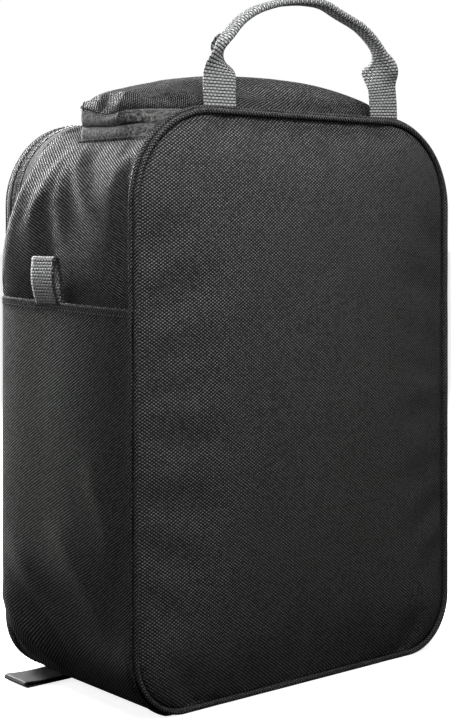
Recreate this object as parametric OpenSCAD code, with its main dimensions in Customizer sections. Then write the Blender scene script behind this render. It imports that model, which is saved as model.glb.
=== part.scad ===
// Two-compartment shoe bag: a soft box with a zipped front door that folds down,
// a zipped hood over the main compartment, side slip pockets and a webbing handle.
// The bag stands on the floor at z = 0. Its front door faces -Y and its back panel +Y.

/* [Body] */
// Width across the side gussets
bag_w = 268; // [250:2:290]
// Depth from the back panel to the front door
bag_d = 143; // [140:1:156]
// Height of the back panel
bag_h = 360; // [340:5:390]
// Corner radius at the top of the back panel
top_r = 58; // [52:1:62]
// Corner radius at the bottom of the bag
bottom_r = 38; // [32:1:44]
// Thickness of the outer fabric
fabric_t = 1.2; // [1:0.1:1.4]
// Thickness of the foam in the back panel and the door
foam_t = 4; // [3:0.5:5]
// Thickness of the lining
lining_t = 0.8; // [0.6:0.1:1]
// Diameter of the piping around the back panel and the door
piping_d = 3.6; // [3:0.2:4]
// Thickness of the stiff board in the floor of the main compartment
board_t = 2; // [1.5:0.5:3]

/* [Front compartment] */
// Distance from the door's outer face to the divider
front_d = 65; // [60:1:70]
// Height of the door's top edge below the back panel's top edge
door_drop = 4; // [3:0.5:6]
// Corner radius at the top of the door
door_r = 54; // [50:1:56]
// Depth of the door's rim, from its outer face to its zip tape
rim_d = 8; // [7:0.5:9]

/* [Hood] */
// Height of the hood's base below the back panel's top edge
hood_base_drop = 19.5; // [18:0.5:21]
// Height of the closing line of the hood's zip above its base
hood_zip_z = 9.5; // [9:0.5:10]
// Rise of the hood's crown above the straight part of its sides
crown_h = 14; // [10:1:15]
// Depth of the seam strip between the back panel and the hood
strip_d = 7.5; // [7:0.5:9]

/* [Zips] */
// Width of each half of a zip tape that shows
tape_w = 9; // [8:0.5:10]
// Thickness of a zip tape
tape_t = 1; // [0.8:0.1:1.2]
// Thickness of a zip coil
coil_t = 1.6; // [1.4:0.1:1.8]
// Width of each half of a closed coil
coil_w = 1.3; // [1.1:0.1:1.5]
// Length of a slider body along its zip
slider_l = 11; // [9:1:12]
// Width of a slider body across its zip
slider_w = 8; // [7:0.5:9]
// Length of a slider's pull tab
pull_l = 17; // [14:1:18]

/* [Webbing] */
// Width of the webbing
web_w = 25; // [20:1:26]
// Thickness of one layer of webbing
web_t = 1.1; // [1:0.1:1.3]
// Distance from the middle of the bag to the middle of each handle end
handle_x = 69; // [64:1:72]
// Height of the top of the handle above the back panel
handle_h = 71; // [66:1:76]
// Height of each side loop
loop_h = 27; // [20:1:30]
// Length of each zip end tab
tab_l = 34; // [30:1:36]

/* [Side pockets] */
// Height of the pocket's hem above the floor
pocket_h = 238; // [220:1:245]
// Bulge of the pocket in the middle
pocket_bulge = 8; // [7:0.5:9]

/* [Hidden] */

// Clearance between pieces that move past each other
gap = 0.3;
// Overlap of a cutting shape past the solid that it cuts
over = 1;
// Steps along each rounded corner of the outline, along the crown and along the handle
arc_steps = 12;
crown_steps = 20;
grip_steps = 24;
// Sides of the piping and of the pins, and steps round a whole turn of the piping's corners
cord_sides = 24;
turn_steps = 96;

half_w = bag_w / 2;
y_back = bag_d / 2;
y_front = -bag_d / 2;
hood_z = bag_h - hood_base_drop;
door_top = bag_h - door_drop;

// Where the layers of the back panel lie
y_gusset_back = y_back - piping_d + 0.1;
y_panel = y_back - 1.5;
y_foam = y_panel - fabric_t;
y_back_lining = y_foam - foam_t;
y_inside_back = y_back_lining - lining_t;

// Where the layers and the zip of the door lie
y_door_foam = y_front + fabric_t;
y_door_lining = y_door_foam + foam_t;
y_rim_end = y_front + rim_d;
door_tape_w = 6;
y_door_tape_end = y_rim_end + door_tape_w;
y_door_zip = y_door_tape_end + coil_w + gap / 2;
y_body_tape = y_door_zip + coil_w + gap / 2;
y_gusset_front = y_body_tape + tape_w;

// The divider and the foot of the hood's front wall
y_divider = y_front + front_d;
divider_t = 2;
y_slope_end = y_divider - tape_t;
y_hinge = y_gusset_back - strip_d;

// The door is hinged between the bottom corners
corner_x = half_w - bottom_r;
inside_inset = fabric_t + lining_t;

// The hood is as wide as the back panel at the height of the hood's base
hood_half_w = half_w - top_r + sqrt(pow(top_r, 2) - pow(top_r - hood_base_drop, 2)) - gap;
zip_line_z = hood_z + hood_zip_z;
crown_z = bag_h + 1;
hood_foam_t = 2;
plan_r = 8;

// The pockets lie between the zip and the back piping
pocket_y0 = y_gusset_front + 1;
pocket_y1 = y_gusset_back - 2;
pocket_floor = bottom_r + 4;

// Handle: two flat legs that narrow upwards, and a narrow folded grip between them
handle_y = y_hinge + 5.5;
handle_z = bag_h + 0.8;
grip_h = 4.5;
grip_w = 9;
grip_inset = 6;
leg_h = 34;
leg_waist_h = 14;
leg_narrowing = 2;
leg_lean = 3;

// Side loops, each a folded webbing with a soft bend at its top
loop_y = -4;
loop_x = half_w + gap;
loop_z = pocket_h + 2;
loop_t = 3;
loop_bend = 1;

// Zip end tabs on the floor, with soft folded ends
tab_x = half_w - 25.2;
tab_y = y_door_zip + 12;
tab_z = 0.1;
tab_t = 2.2;
tab_bend = 0.5;

// Sliders rest near the middle of their zips
slider_x = 14;
slider_t = 2;
bridge_inset = 2;
bridge_w = 3;
bridge_t = 1;
bridge_h = 3;
pin_d = 1.4;
pin_lift = 1.6;
hood_slider_y = y_slope_end - gap;
door_slider_z = door_top + gap;

// Each pull has a round eye on the slider's pin, a narrow neck and a wider tab
pull_w = 6;
pull_t = 1.6;
eye_w = 4.2;
eye_wall = 0.6;
eye_play = 0.2;
neck_l = 4;
door_pull_fall = 8;
slope_angle = atan2(door_top - hood_z, y_slope_end - y_gusset_front);

function arc(cx, cy, r, from, to, steps) =
    [for (i = [0 : steps]) let (a = from + (to - from) * i / steps) [cx + r * cos(a), cy + r * sin(a)]];

// Rounded outline seen from the back, taken in by an inset
function outline(inset, top, r) = concat(
    arc(half_w - r, top - r, r - inset, 0, 90, arc_steps),
    arc(r - half_w, top - r, r - inset, 90, 180, arc_steps),
    arc(bottom_r - half_w, bottom_r, bottom_r - inset, 180, 270, arc_steps),
    arc(half_w - bottom_r, bottom_r, bottom_r - inset, 270, 360, arc_steps)
);

// An XZ outline extruded along Y
module prism_y(points, y0, y1) {
    translate([0, y1, 0])
        rotate([90, 0, 0])
            linear_extrude(height = y1 - y0)
                polygon(points);
}

// A YZ outline extruded along X
module prism_x(points, x0, x1) {
    translate([x0, 0, 0])
        rotate([90, 0, 90])
            linear_extrude(height = x1 - x0)
                polygon(points);
}

// A box between two opposite corners
module block(low, high) {
    translate(low)
        cube(high - low);
}

// Mirrored to the left where side is -1
module on_side(side) {
    if (side > 0) {
        children();
    } else {
        mirror([1, 0, 0])
            children();
    }
}

module back_ring(inset0, inset1, y0, y1) {
    difference() {
        prism_y(outline(inset0, bag_h, top_r), y0, y1);
        prism_y(outline(inset1, bag_h, top_r), y0 - over, y1 + over);
    }
}

module front_ring(inset0, inset1, y0, y1) {
    difference() {
        prism_y(outline(inset0, door_top, door_r), y0, y1);
        prism_y(outline(inset1, door_top, door_r), y0 - over, y1 + over);
    }
}

// Everything under the sloping top of the front compartment, taken in by an inset
module under_slope(inset, y0, y1) {
    prism_x([
        [y0, -over],
        [y1, -over],
        [y1, hood_z - inset],
        [y_slope_end, hood_z - inset],
        [y_gusset_front, door_top - inset],
        [y0, door_top - inset]
    ], -bag_w, bag_w);
}

// The front compartment's walls, between two insets
module front_shell(inset0, inset1) {
    difference() {
        intersection() {
            prism_y(outline(inset0, door_top, door_r), y_gusset_front, y_divider);
            under_slope(inset0, y_gusset_front, y_divider);
        }
        intersection() {
            prism_y(outline(inset1, door_top, door_r), y_gusset_front - over, y_divider + over);
            under_slope(inset1, y_gusset_front - over, y_divider + over);
        }
    }
}

// The main compartment's walls, between two insets, open at the top under the hood
module main_shell(inset0, inset1) {
    intersection() {
        back_ring(inset0, inset1, y_divider, y_gusset_back);
        block([-bag_w, y_divider - over, -over], [bag_w, y_back, hood_z]);
    }
}

// The part of a shell that belongs to one side
module side_zone(side) {
    on_side(side) {
        block([corner_x, y_front - over, -over], [bag_w, y_back, bag_h / 2]);
        block([half_w - door_r, y_front - over, bag_h / 2], [bag_w, y_back, bag_h + over]);
    }
}

// The U that a door's zip follows, without the hinge at the bottom
module zip_zone() {
    difference() {
        block([-bag_w, y_front - over, -over], [bag_w, y_gusset_front, bag_h + over]);
        block([-corner_x - gap, y_front - 2 * over, -2 * over],
            [corner_x + gap, y_gusset_front + over, bottom_r]);
    }
}

// A round cord along the outline, in a plane of constant y, with or without its bottom run
module piping(top, r, y, with_bottom) {
    inset = piping_d / 2;
    for (side = [-1, 1]) {
        on_side(side) {
            translate([half_w - r, y, top - r])
                rotate([90, 0, 0])
                    rotate_extrude(angle = 90, $fn = turn_steps)
                        translate([r - inset, 0])
                            circle(d = piping_d, $fn = cord_sides);
            translate([corner_x, y, bottom_r])
                rotate([90, 0, 0])
                    rotate_extrude(angle = -90, $fn = turn_steps)
                        translate([bottom_r - inset, 0])
                            circle(d = piping_d, $fn = cord_sides);
            translate([half_w - inset, y, bottom_r])
                cylinder(d = piping_d, h = top - r - bottom_r, $fn = cord_sides);
        }
    }
    translate([r - half_w, y, top - inset])
        rotate([0, 90, 0])
            cylinder(d = piping_d, h = bag_w - 2 * r, $fn = cord_sides);
    if (with_bottom) {
        translate([-corner_x, y, inset])
            rotate([0, 90, 0])
                cylinder(d = piping_d, h = 2 * corner_x, $fn = cord_sides);
    }
}

// Back panel

module back_panel() {
    color([0.13, 0.13, 0.135])
        prism_y(outline(piping_d, bag_h, top_r), y_foam, y_panel);
}

module back_foam() {
    color([0.5, 0.5, 0.5])
        prism_y(outline(piping_d, bag_h, top_r), y_back_lining, y_foam);
}

module back_lining() {
    color([0.3, 0.3, 0.31])
        prism_y(outline(inside_inset, bag_h, top_r), y_inside_back, y_back_lining);
}

module back_piping() {
    color([0.16, 0.16, 0.165])
        piping(bag_h, top_r, y_back - piping_d / 2, true);
}

// Gussets and their lining

module side_gusset(side) {
    color([0.12, 0.12, 0.125])
        intersection() {
            union() {
                main_shell(0, fabric_t);
                front_shell(0, fabric_t);
            }
            side_zone(side);
        }
}

module side_gusset_left() {
    side_gusset(-1);
}

module side_gusset_right() {
    side_gusset(1);
}

module bottom_gusset() {
    color([0.12, 0.12, 0.125])
        block([-corner_x, y_front + gap, 0], [corner_x, y_gusset_back, fabric_t]);
}

module front_top_strip() {
    color([0.12, 0.12, 0.125])
        intersection() {
            front_shell(0, fabric_t);
            block([door_r - half_w, y_gusset_front, bag_h / 2], [half_w - door_r, y_divider, bag_h]);
        }
}

module back_top_strip() {
    color([0.13, 0.13, 0.135])
        intersection() {
            back_ring(0, fabric_t, y_hinge, y_gusset_back);
            block([-bag_w, y_hinge, hood_z], [bag_w, y_gusset_back, bag_h + over]);
        }
}

module gusset_lining() {
    color([0.3, 0.3, 0.31]) {
        intersection() {
            main_shell(fabric_t, inside_inset);
            block([-bag_w, y_divider, 0], [bag_w, y_back_lining, hood_z]);
        }
        front_shell(fabric_t, inside_inset);
    }
}

module base_board() {
    color([0.2, 0.2, 0.2])
        block([-corner_x, y_divider + 2, inside_inset],
            [corner_x, y_inside_back - 2, inside_inset + board_t]);
}

module divider_panel() {
    color([0.3, 0.3, 0.31])
        intersection() {
            prism_y(outline(inside_inset, door_top, door_r), y_divider - divider_t, y_divider);
            block([-bag_w, y_front, 0], [bag_w, y_back, hood_z - inside_inset]);
        }
}

// Side slip pockets

// Plan of a bulging wall on the side gusset, taken in by an inset
function pocket_plan(inset) =
    let (
        half_chord = (pocket_y1 - pocket_y0) / 2,
        depth = pocket_bulge + fabric_t,
        r = (half_chord * half_chord + depth * depth) / (2 * depth),
        half_angle = asin(half_chord / r)
    )
    arc(half_w + depth - r, (pocket_y0 + pocket_y1) / 2, r - inset, -half_angle, half_angle, 2 * arc_steps);

module pocket(side) {
    color([0.12, 0.12, 0.125])
        on_side(side)
            difference() {
                intersection() {
                    translate([0, 0, pocket_floor])
                        linear_extrude(height = pocket_h - pocket_floor)
                            polygon(pocket_plan(0));
                    block([half_w, y_front, 0], [bag_w, y_back, bag_h]);
                }
                translate([0, 0, pocket_floor + fabric_t])
                    linear_extrude(height = pocket_h)
                        polygon(pocket_plan(fabric_t));
            }
}

module side_pocket_left() {
    pocket(-1);
}

module side_pocket_right() {
    pocket(1);
}

// Zip between the body and the door

module body_zip_tape() {
    color([0.15, 0.15, 0.15])
        intersection() {
            front_ring(0, tape_t, y_body_tape, y_gusset_front);
            zip_zone();
        }
}

module body_zip_coil() {
    color([0.1, 0.1, 0.1])
        intersection() {
            front_ring(0, coil_t, y_door_zip + gap / 2, y_body_tape);
            zip_zone();
        }
}

module door_zip_tape() {
    color([0.15, 0.15, 0.15])
        intersection() {
            front_ring(0, tape_t, y_rim_end, y_door_tape_end);
            zip_zone();
        }
}

module door_zip_coil() {
    color([0.1, 0.1, 0.1])
        intersection() {
            front_ring(0, coil_t, y_door_tape_end, y_door_zip - gap / 2);
            zip_zone();
        }
}

// Door

// The door's outline stops just above the bottom gusset, where it is hinged
module door_plate(inset, y0, y1) {
    difference() {
        prism_y(outline(inset, door_top, door_r), y0, y1);
        block([-corner_x - gap, y0 - over, -over], [corner_x + gap, y1 + over, fabric_t + gap]);
    }
}

module door_panel() {
    color([0.13, 0.13, 0.135])
        door_plate(piping_d, y_front, y_door_foam);
}

module door_foam() {
    color([0.5, 0.5, 0.5])
        door_plate(piping_d, y_door_foam, y_door_lining);
}

module door_lining() {
    color([0.3, 0.3, 0.31])
        door_plate(piping_d, y_door_lining, y_door_lining + lining_t);
}

module door_piping() {
    color([0.16, 0.16, 0.165])
        piping(door_top, door_r, y_front + piping_d / 2, false);
}

module door_rim() {
    color([0.12, 0.12, 0.125])
        intersection() {
            front_ring(0, fabric_t, y_front + piping_d, y_rim_end);
            zip_zone();
        }
}

// Hood over the main compartment

// Plan of the hood with rounded front corners, taken in by an inset
function hood_plan(inset, y_end) = concat(
    [[hood_half_w - inset, y_end]],
    arc(hood_half_w - plan_r, y_slope_end + plan_r, plan_r - inset, 0, -90, 8),
    arc(plan_r - hood_half_w, y_slope_end + plan_r, plan_r - inset, -90, -180, 8),
    [[inset - hood_half_w, y_end]]
);

// The hood's upright wall on its three zipped sides
module hood_wall(inset0, inset1, z0, z1, y_end) {
    translate([0, 0, z0])
        linear_extrude(height = z1 - z0)
            difference() {
                polygon(hood_plan(inset0, y_end));
                polygon(hood_plan(inset1, y_end + over));
            }
}

// A rounded crown whose height falls to nothing at the ends of a span
function crown_profile(from, to, rise, power) = concat(
    [[to, crown_z - over]],
    [for (i = [0 : crown_steps]) let (t = 1 - 2 * i / crown_steps)
        [(from + to) / 2 + t * (to - from) / 2, crown_z + rise * pow(1 - pow(abs(t), power), 0.7)]],
    [[from, crown_z - over]]
);

module crown(inset) {
    intersection() {
        prism_x(crown_profile(y_slope_end + inset, y_hinge - gap - inset, crown_h - inset, 2), -bag_w, bag_w);
        prism_y(crown_profile(inset - hood_half_w, hood_half_w - inset, crown_h - inset, 4), y_front, y_back);
        block([-bag_w, y_front, crown_z], [bag_w, y_back, bag_h + handle_h]);
    }
}

module crown_layer(inset0, inset1) {
    difference() {
        crown(inset0);
        crown(inset1);
    }
}

module hood_shell() {
    color([0.12, 0.12, 0.125])
        crown_layer(0, fabric_t);
}

module hood_foam() {
    color([0.5, 0.5, 0.5])
        crown_layer(fabric_t, fabric_t + hood_foam_t);
}

module hood_lining() {
    color([0.3, 0.3, 0.31])
        crown_layer(fabric_t + hood_foam_t, fabric_t + hood_foam_t + lining_t);
}

module hood_lower_tape() {
    color([0.15, 0.15, 0.15])
        hood_wall(0, tape_t, hood_z, zip_line_z - coil_w - gap / 2, y_hinge);
}

module hood_lower_coil() {
    color([0.1, 0.1, 0.1])
        hood_wall(0, coil_t, zip_line_z - coil_w - gap / 2, zip_line_z - gap / 2, y_hinge);
}

module hood_upper_tape() {
    color([0.15, 0.15, 0.15])
        hood_wall(0, tape_t, zip_line_z + coil_w + gap / 2, crown_z, y_hinge - gap);
}

module hood_upper_coil() {
    color([0.1, 0.1, 0.1])
        hood_wall(0, coil_t, zip_line_z + gap / 2, zip_line_z + coil_w + gap / 2, y_hinge - gap);
}

// Webbing

// Middle line of the folded grip, from one leg over the top to the other
function grip_point(a, lift) = [
    (handle_x - grip_inset + lift) * cos(a),
    handle_z + leg_h + (handle_h - leg_h - grip_h + lift) * sin(a)
];

module carry_handle() {
    color([0.36, 0.37, 0.38]) {
        prism_y(concat(
            [for (i = [0 : grip_steps]) grip_point(180 * i / grip_steps, grip_h)],
            [for (i = [grip_steps : -1 : 0]) grip_point(180 * i / grip_steps, 0)]
        ), handle_y - grip_w / 2, handle_y + grip_w / 2);
        for (side = [-1, 1]) {
            on_side(side)
                prism_y([
                    [handle_x + web_w / 2, handle_z],
                    [handle_x + web_w / 2 - leg_narrowing, handle_z + leg_waist_h],
                    [handle_x - grip_inset + grip_h, handle_z + leg_h],
                    [handle_x - grip_inset, handle_z + leg_h],
                    [handle_x - web_w / 2 - leg_lean, handle_z + leg_waist_h],
                    [handle_x - web_w / 2, handle_z]
                ], handle_y - web_t, handle_y + web_t);
        }
    }
}

module side_loop(side) {
    color([0.36, 0.37, 0.38])
        on_side(side)
            prism_y([
                [loop_x, loop_z],
                [loop_x + loop_t, loop_z],
                [loop_x + loop_t, loop_z + loop_h - loop_bend],
                [loop_x + loop_t - loop_bend, loop_z + loop_h],
                [loop_x + loop_bend, loop_z + loop_h],
                [loop_x, loop_z + loop_h - loop_bend]
            ], loop_y - web_w / 2, loop_y + web_w / 2);
}

module side_loop_left() {
    side_loop(-1);
}

module side_loop_right() {
    side_loop(1);
}

module zip_end_tab(side) {
    color([0.08, 0.08, 0.08])
        on_side(side)
            prism_y([
                [tab_x, tab_z],
                [tab_x + tab_l - tab_bend, tab_z],
                [tab_x + tab_l, tab_z + tab_bend],
                [tab_x + tab_l, tab_t - tab_bend],
                [tab_x + tab_l - tab_bend, tab_t],
                [tab_x, tab_t]
            ], tab_y - web_w / 2, tab_y + web_w / 2);
}

module zip_end_tab_left() {
    zip_end_tab(-1);
}

module zip_end_tab_right() {
    zip_end_tab(1);
}

// Sliders and pulls

// A slider body at the origin, its zip along X and its outer face up, with an open bridge round its pin
module slider_body() {
    bridge_x = slider_l / 2 - bridge_inset;
    color([0.1, 0.1, 0.1]) {
        block([-slider_l / 2, -slider_w / 2, 0], [slider_l / 2, slider_w / 2, slider_t]);
        for (side = [-1, 1]) {
            on_side(side)
                block([bridge_x - bridge_t, -bridge_w / 2, slider_t],
                    [bridge_x, bridge_w / 2, slider_t + bridge_h]);
        }
        translate([-bridge_x, 0, slider_t + pin_lift])
            rotate([0, 90, 0])
                cylinder(d = pin_d, h = 2 * bridge_x, $fn = cord_sides);
    }
}

// A pull tab at the origin, bored along X for the slider's pin and lying towards +Y
module pull_tab() {
    color([0.1, 0.1, 0.1])
        difference() {
            union() {
                block([-eye_w / 2, 0, -pull_t / 2], [eye_w / 2, neck_l, pull_t / 2]);
                rotate([0, 90, 0])
                    translate([0, 0, -eye_w / 2])
                        cylinder(d = pin_d + 2 * eye_wall, h = eye_w, $fn = cord_sides);
                block([-pull_w / 2, neck_l, -pull_t / 2], [pull_w / 2, pull_l, pull_t / 2]);
            }
            rotate([0, 90, 0])
                translate([0, 0, -pull_w])
                    cylinder(d = pin_d + eye_play, h = 2 * pull_w, $fn = cord_sides);
        }
}

module hood_slider(side) {
    translate([side * slider_x, hood_slider_y, zip_line_z])
        rotate([90, 0, 0])
            slider_body();
}

module hood_pull(side) {
    translate([side * slider_x, hood_slider_y - slider_t - pin_lift, zip_line_z])
        rotate([180 - slope_angle, 0, 0])
            pull_tab();
}

module door_slider(side) {
    translate([side * slider_x, y_door_zip, door_slider_z])
        slider_body();
}

module door_pull(side) {
    translate([side * slider_x, y_door_zip, door_slider_z + slider_t + pin_lift])
        rotate([-door_pull_fall, 0, 0])
            pull_tab();
}

module hood_slider_left() {
    hood_slider(-1);
}

module hood_slider_right() {
    hood_slider(1);
}

module hood_pull_left() {
    hood_pull(-1);
}

module hood_pull_right() {
    hood_pull(1);
}

module door_slider_left() {
    door_slider(-1);
}

module door_slider_right() {
    door_slider(1);
}

module door_pull_left() {
    door_pull(-1);
}

module door_pull_right() {
    door_pull(1);
}

back_panel();
back_foam();
back_lining();
back_piping();
side_gusset_left();
side_gusset_right();
bottom_gusset();
front_top_strip();
back_top_strip();
gusset_lining();
base_board();
divider_panel();
side_pocket_left();
side_pocket_right();
hood_lower_tape();
hood_lower_coil();
body_zip_tape();
body_zip_coil();
hood_shell();
hood_foam();
hood_lining();
hood_upper_tape();
hood_upper_coil();
door_panel();
door_foam();
door_lining();
door_rim();
door_piping();
door_zip_tape();
door_zip_coil();
carry_handle();
side_loop_left();
side_loop_right();
zip_end_tab_left();
zip_end_tab_right();
hood_slider_left();
hood_slider_right();
hood_pull_left();
hood_pull_right();
door_slider_left();
door_slider_right();
door_pull_left();
door_pull_right();
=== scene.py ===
import math

import bmesh
import bpy
import numpy as np
from mathutils import Matrix, Vector


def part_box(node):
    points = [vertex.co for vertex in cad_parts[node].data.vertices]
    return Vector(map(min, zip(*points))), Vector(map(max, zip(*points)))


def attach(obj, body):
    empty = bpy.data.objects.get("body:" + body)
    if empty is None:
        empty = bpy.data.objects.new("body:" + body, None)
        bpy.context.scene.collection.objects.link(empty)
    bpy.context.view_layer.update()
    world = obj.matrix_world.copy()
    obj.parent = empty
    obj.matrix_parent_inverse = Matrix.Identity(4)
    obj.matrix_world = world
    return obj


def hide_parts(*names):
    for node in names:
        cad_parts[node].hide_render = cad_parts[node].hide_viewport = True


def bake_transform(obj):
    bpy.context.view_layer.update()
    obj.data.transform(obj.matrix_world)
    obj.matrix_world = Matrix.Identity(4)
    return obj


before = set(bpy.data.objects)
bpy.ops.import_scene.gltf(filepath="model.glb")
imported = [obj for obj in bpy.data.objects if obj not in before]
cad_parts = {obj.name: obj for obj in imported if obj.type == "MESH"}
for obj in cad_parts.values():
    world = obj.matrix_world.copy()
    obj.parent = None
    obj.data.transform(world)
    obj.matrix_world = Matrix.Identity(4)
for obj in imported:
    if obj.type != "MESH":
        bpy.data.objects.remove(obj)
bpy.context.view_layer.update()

MM = 0.001
TAU = 2 * math.pi

# ---------------------------------------------------------------- sizes, read from the frame

PIPING_LOW, PIPING_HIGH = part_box("back_piping")
HALF_W = PIPING_HIGH.x
TOP = PIPING_HIGH.z
Y_BACK = PIPING_HIGH.y
PIPING_R = (PIPING_HIGH.y - PIPING_LOW.y) / 2
DOOR_LOW, DOOR_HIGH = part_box("door_piping")
Y_FRONT = DOOR_LOW.y
DOOR_TOP = DOOR_HIGH.z
GUSSET_LOW, GUSSET_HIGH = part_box("side_gusset_right")
Y_SEAM = GUSSET_LOW.y
Y_RIDGE = GUSSET_HIGH.y
CORNER_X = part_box("bottom_gusset")[1].x
BOTTOM_R = HALF_W - CORNER_X
DOOR_R = HALF_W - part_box("front_top_strip")[1].x
TOP_R = 58 * MM
HOOD_LOW, HOOD_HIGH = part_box("hood_lower_tape")
HOOD_X = HOOD_HIGH.x
HOOD_Y = HOOD_LOW.y
HOOD_Z = HOOD_LOW.z
ZIP_Z = (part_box("hood_lower_coil")[1].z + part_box("hood_upper_coil")[0].z) / 2
CROWN_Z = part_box("hood_shell")[0].z
Y_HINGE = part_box("back_top_strip")[0].y
Y_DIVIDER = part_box("divider_panel")[1].y
POCKET_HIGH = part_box("side_pocket_right")[1]

# thicknesses of the cloths, and the webbing's width
FABRIC = 1.1 * MM
LINING = 0.6 * MM
TAPE = 0.7 * MM
WEBBING = 1.15 * MM
WEBBING_W = 25 * MM


# ---------------------------------------------------------------- camera, lights and stage

def make_camera():
    """A level camera off the back right corner, with its frame shifted down over the bag."""
    turn = math.radians(50.2)
    aside, away, height = 0.144 * TOP, 2.397 * TOP, 0.794 * TOP
    right = Vector((-math.sin(turn), math.cos(turn), 0))
    forward = Vector((-math.cos(turn), -math.sin(turn), 0))
    eye = Vector((HALF_W, Y_BACK, 0)) + right * aside - forward * away
    eye.z = height
    data = bpy.data.cameras.new("camera")
    data.sensor_width = 36
    data.lens = 75
    data.shift_y = -0.17917
    camera = place_object("camera", data, eye, forward)
    bpy.context.scene.camera = camera


def place_object(name, data, place, direction):
    """A camera or lamp at a place, looking in a direction."""
    thing = bpy.data.objects.new(name, data)
    thing.location = place
    thing.rotation_mode = "QUATERNION"
    thing.rotation_quaternion = direction.to_track_quat("-Z", "Y")
    bpy.context.scene.collection.objects.link(thing)
    return thing


# name, place, size, power in watts, and the point that it faces
LAMPS = [
    ("left_strip", (-0.30, 1.0, 0.42), (0.22, 0.66), 1.2, (0.10, 0.07, 0.24)),
    ("panel_left", (0.30, 0.34, 0.60), (0.12, 0.3), 1.8, (0.10, 0.07, 0.28)),
    ("panel_top", (-0.05, 0.36, 0.66), (0.4, 0.12), 1.3, (0.0, 0.07, 0.32)),
    ("panel_near", (0.10, 0.42, 0.25), (0.08, 0.5), 0.1, (0.12, 0.07, 0.25)),
    ("side_high", (0.16, -0.9, 0.62), (0.25, 0.5), 24, (0.13, 0.0, 0.28)),
    ("side_low", (0.24, -0.8, 0.22), (0.2, 0.4), 2.4, (0.14, 0.0, 0.12)),
    ("side_front", (0.7, -0.6, 0.35), (0.2, 0.4), 1.8, (0.14, 0.0, 0.2)),
    ("over", (0.0, 0.14, 1.0), (0.5, 0.12), 4, (0.0, 0.05, 0.36)),
    ("front_light", (-0.4, -1.2, 0.7), (0.8, 0.8), 5, (0, -0.07, 0.2)),
]


def area_light(name, place, size, power, target):
    data = bpy.data.lights.new(name, "AREA")
    data.shape = "RECTANGLE"
    data.size, data.size_y = size
    data.energy = power
    place_object(name, data, place, Vector(target) - Vector(place))


def make_stage():
    """Soft lamps, a white room that only shows and a white floor."""
    scene = bpy.context.scene
    scene.view_settings.view_transform = "Standard"
    for lamp in LAMPS:
        area_light(*lamp)
    world = bpy.data.worlds.new("room")
    world.use_nodes = True
    background = world.node_tree.nodes["Background"]
    background.inputs["Color"].default_value = (1, 1, 1, 1)
    background.inputs["Strength"].default_value = 1.0
    world.cycles_visibility.diffuse = False
    world.cycles_visibility.glossy = False
    scene.world = world
    bpy.ops.mesh.primitive_plane_add(size=30, location=(0, 0, -0.2 * MM))
    floor = bpy.context.active_object
    floor.name = "floor"
    floor.visible_diffuse = False
    floor.visible_glossy = False
    material = bpy.data.materials.new("floor")
    material.use_nodes = True
    inputs = material.node_tree.nodes["Principled BSDF"].inputs
    inputs["Base Color"].default_value = (0.9, 0.9, 0.9, 1)
    inputs["Roughness"].default_value = 1.0
    inputs["Emission Color"].default_value = (1, 1, 1, 1)
    inputs["Emission Strength"].default_value = 0.85
    floor.data.materials.append(material)


# ---------------------------------------------------------------- materials

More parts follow.
